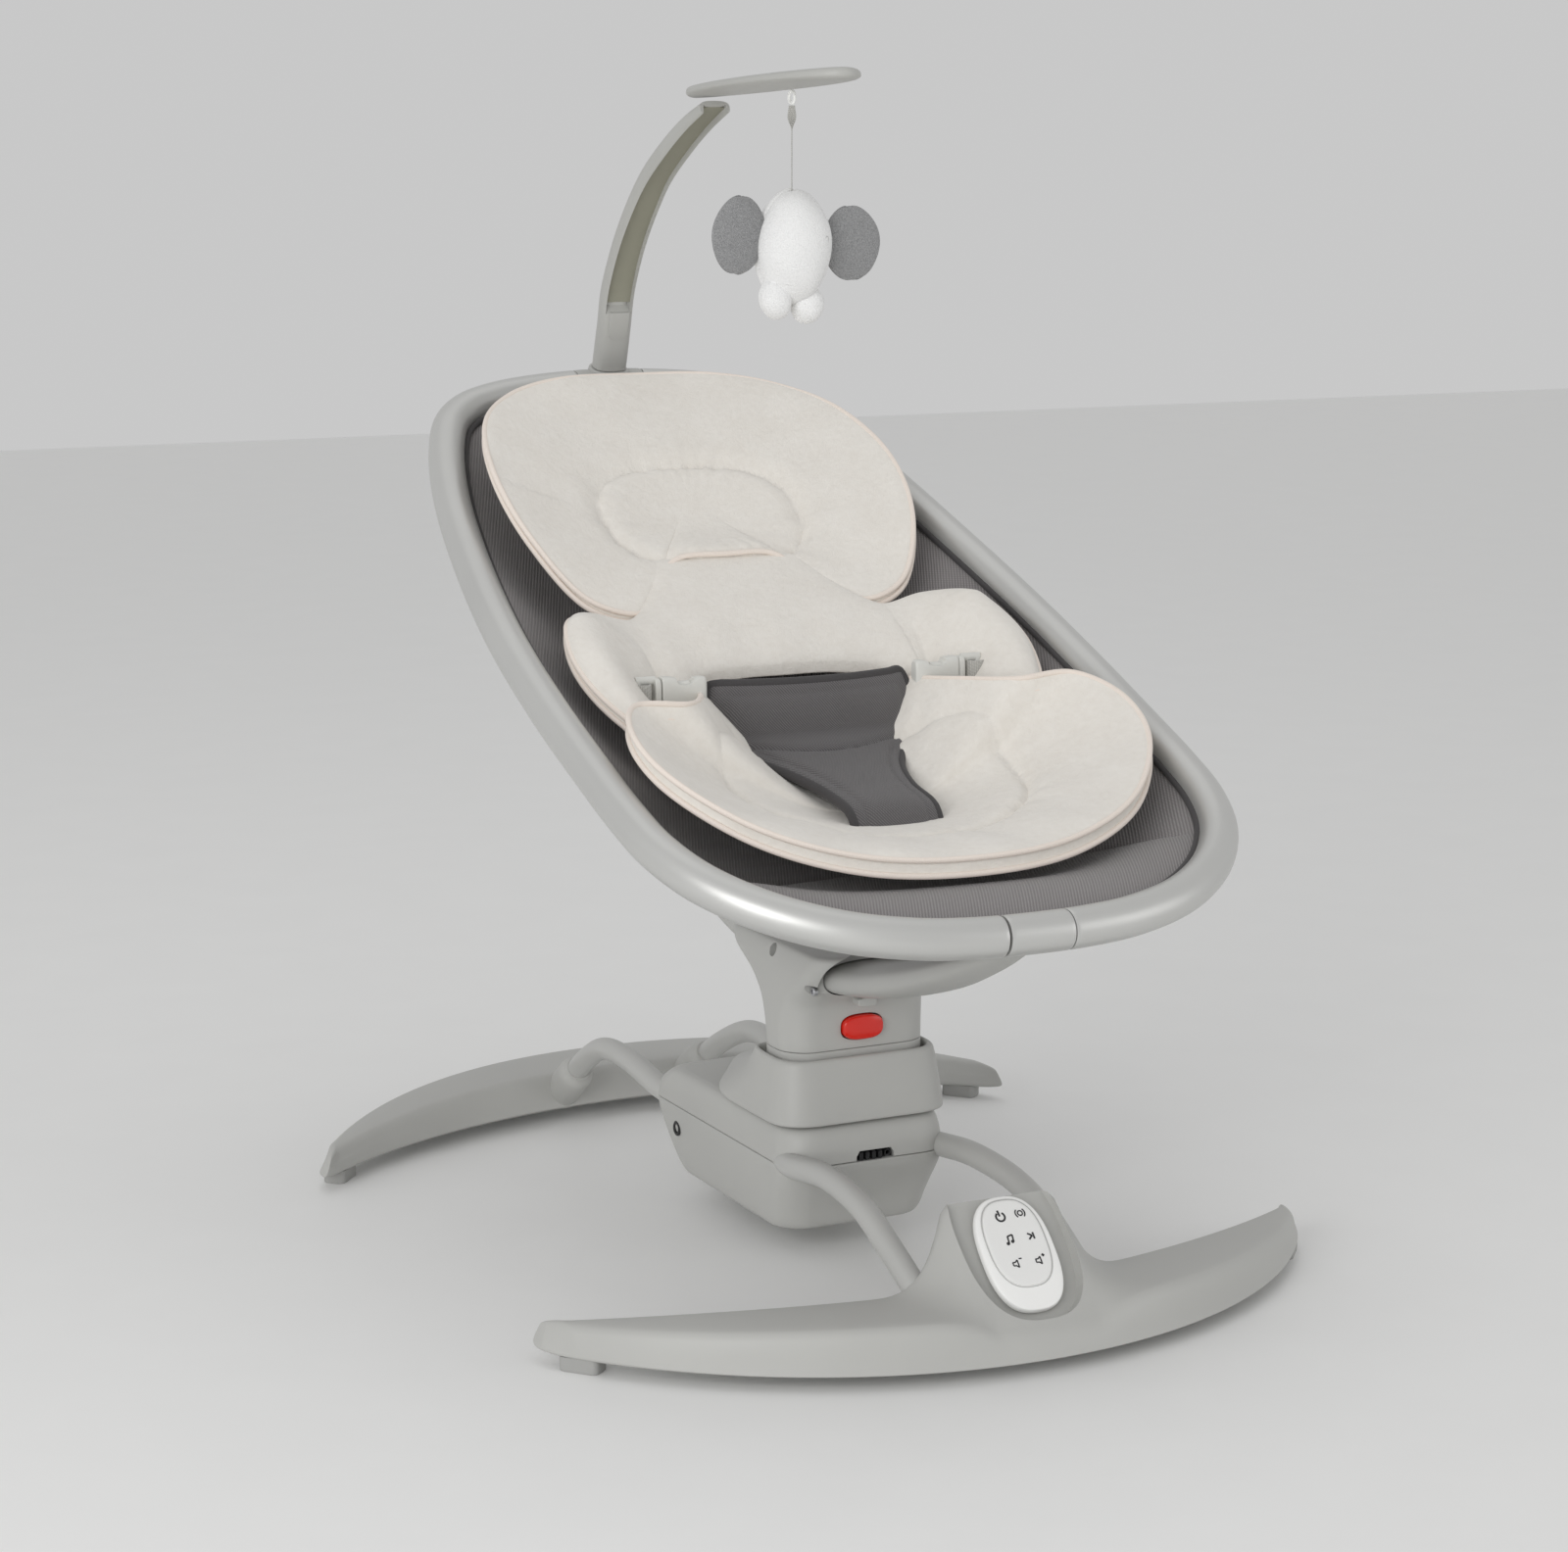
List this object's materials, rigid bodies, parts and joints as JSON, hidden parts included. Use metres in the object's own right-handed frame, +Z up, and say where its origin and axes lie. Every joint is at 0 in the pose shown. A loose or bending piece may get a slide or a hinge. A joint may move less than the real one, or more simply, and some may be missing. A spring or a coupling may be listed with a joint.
{
  "type": "baby swing",
  "caption": "Electric baby swing: padded sling seat in a tube ring on a curved spine, plug-in hub, swaying arm, motor housing, crescent feet and a toy bar with a plush toy.",
  "frame": {"origin": "on the floor, at the centre of the rectangle that the two feet cover", "axes": "+Z up, -Y towards the foot end and control panel, +Y towards the head end and toy bar, X across the seat"},
  "size_m": [0.54, 0.702, 0.7634],
  "materials": {
    "grey_moulding": "fine matt texture",
    "leg_paint": "satin",
    "ring_paint": "satin silver",
    "steel": "machined",
    "black_plastic": "matt",
    "white_plastic": "smooth",
    "red_plastic": "glossy",
    "rubber": "matt",
    "copper": "enamelled winding",
    "board": "solder mask",
    "grey_knit": "ribbed knit",
    "dark_knit": "twill knit",
    "cream_plush": "short-pile plush",
    "white_plush": "short-pile plush",
    "grey_plush": "short-pile plush",
    "buckle_plastic": "satin",
    "webbing": "woven tape"
  },
  "bodies": {
    "base": {"front_foot": "grey_moulding", "rear_foot": "grey_moulding", "front_left_pad": "rubber", "front_left_leg": "leg_paint", "front_right_pad": "rubber", "front_right_leg": "leg_paint", "rear_left_pad": "rubber", "rear_left_leg": "leg_paint", "rear_right_pad": "rubber", "rear_right_leg": "leg_paint", "control_panel": "white_plastic", "panel_membrane": "white_plastic", "housing_lower": "grey_moulding", "housing_upper": "grey_moulding", "power_inlet": "black_plastic", "port_block": "black_plastic", "front_leg_clamp": "black_plastic", "rear_leg_clamp": "black_plastic", "bearing_block": "black_plastic", "lower_bearing": "steel", "upper_bearing": "steel", "drive_coil": "copper", "main_board": "board", "speaker": "black_plastic"},
    "sway": {"swing_cover": "grey_moulding", "post_collar": "grey_moulding", "swing_arm": "steel", "spindle": "steel", "magnet_arm": "steel"},
    "hub": {"hub": "grey_moulding", "left_hub_screw_1": "steel", "left_hub_screw_2": "steel", "right_hub_screw_1": "steel", "right_hub_screw_2": "steel"},
    "release_button": {"release_button": "red_plastic"},
    "recline_latch": {"recline_latch": "grey_moulding"},
    "seat": {"left_ring_tube": "ring_paint", "right_ring_tube": "ring_paint", "head_joiner": "grey_moulding", "foot_joiner": "grey_moulding", "spine_beam": "grey_moulding", "seat_sling": "grey_knit", "head_pillow": "cream_plush", "back_cushion": "cream_plush", "seat_cushion": "cream_plush", "lap_panel": "dark_knit", "left_buckle_socket": "buckle_plastic", "right_buckle_socket": "buckle_plastic"},
    "left_buckle": {"left_buckle_clip": "buckle_plastic", "left_webbing": "webbing"},
    "right_buckle": {"right_buckle_clip": "buckle_plastic", "right_webbing": "webbing"},
    "toy_bar": {"toy_bar": "grey_moulding", "bar_plate": "grey_moulding", "toy_hook": "white_plastic"},
    "bar_latch": {"bar_latch": "grey_moulding"},
    "toy": {"toy_ribbon": "webbing", "toy_body": "white_plush", "toy_left_ear": "grey_plush", "toy_right_ear": "grey_plush"}
  },
  "joints": [
    {"name": "sway", "type": "hinge", "parent": "base", "child": "sway", "pos_m": [0, 0.04, 0.09], "axis": [0, 0, 1], "range_deg": [-10, 10]},
    {"name": "seat_lift", "type": "slide", "parent": "sway", "child": "hub", "axis": [0, 0, 1], "range_m": [0, 0.06]},
    {"name": "release_press", "type": "slide", "parent": "hub", "child": "release_button", "axis": [0, 1, 0], "range_m": [0, 0.003], "stiffness_N_per_m": 400, "springref_m": -0.002},
    {"name": "recline_latch_press", "type": "slide", "parent": "hub", "child": "recline_latch", "axis": [0, 1, 0], "range_m": [0, 0.004], "stiffness_N_per_m": 400, "springref_m": -0.002},
    {"name": "recline", "type": "hinge", "parent": "hub", "child": "seat", "pos_m": [0, -0.063, 0.59], "axis": [1, 0, 0], "range_deg": [-10, 4]},
    {"name": "left_buckle_pull", "type": "slide", "parent": "seat", "child": "left_buckle", "axis": [-1, 0, 0], "range_m": [0, 0.016]},
    {"name": "right_buckle_pull", "type": "slide", "parent": "seat", "child": "right_buckle", "axis": [1, 0, 0], "range_m": [0, 0.016]},
    {"name": "bar_swivel", "type": "hinge", "parent": "seat", "child": "toy_bar", "pos_m": [0, 0.309, 0.5406], "axis": [0, -0.3007, 0.9537], "range_deg": [-90, 90]},
    {"name": "bar_latch_press", "type": "slide", "parent": "toy_bar", "child": "bar_latch", "axis": [0, 0.9537, 0.3007], "range_m": [0, 0.002], "stiffness_N_per_m": 300, "springref_m": -0.002},
    {"name": "toy_swing", "type": "hinge", "parent": "toy_bar", "child": "toy", "pos_m": [0, 0.006, 0.741], "axis": [1, 0, 0], "range_deg": [-45, 45]}
  ]
}
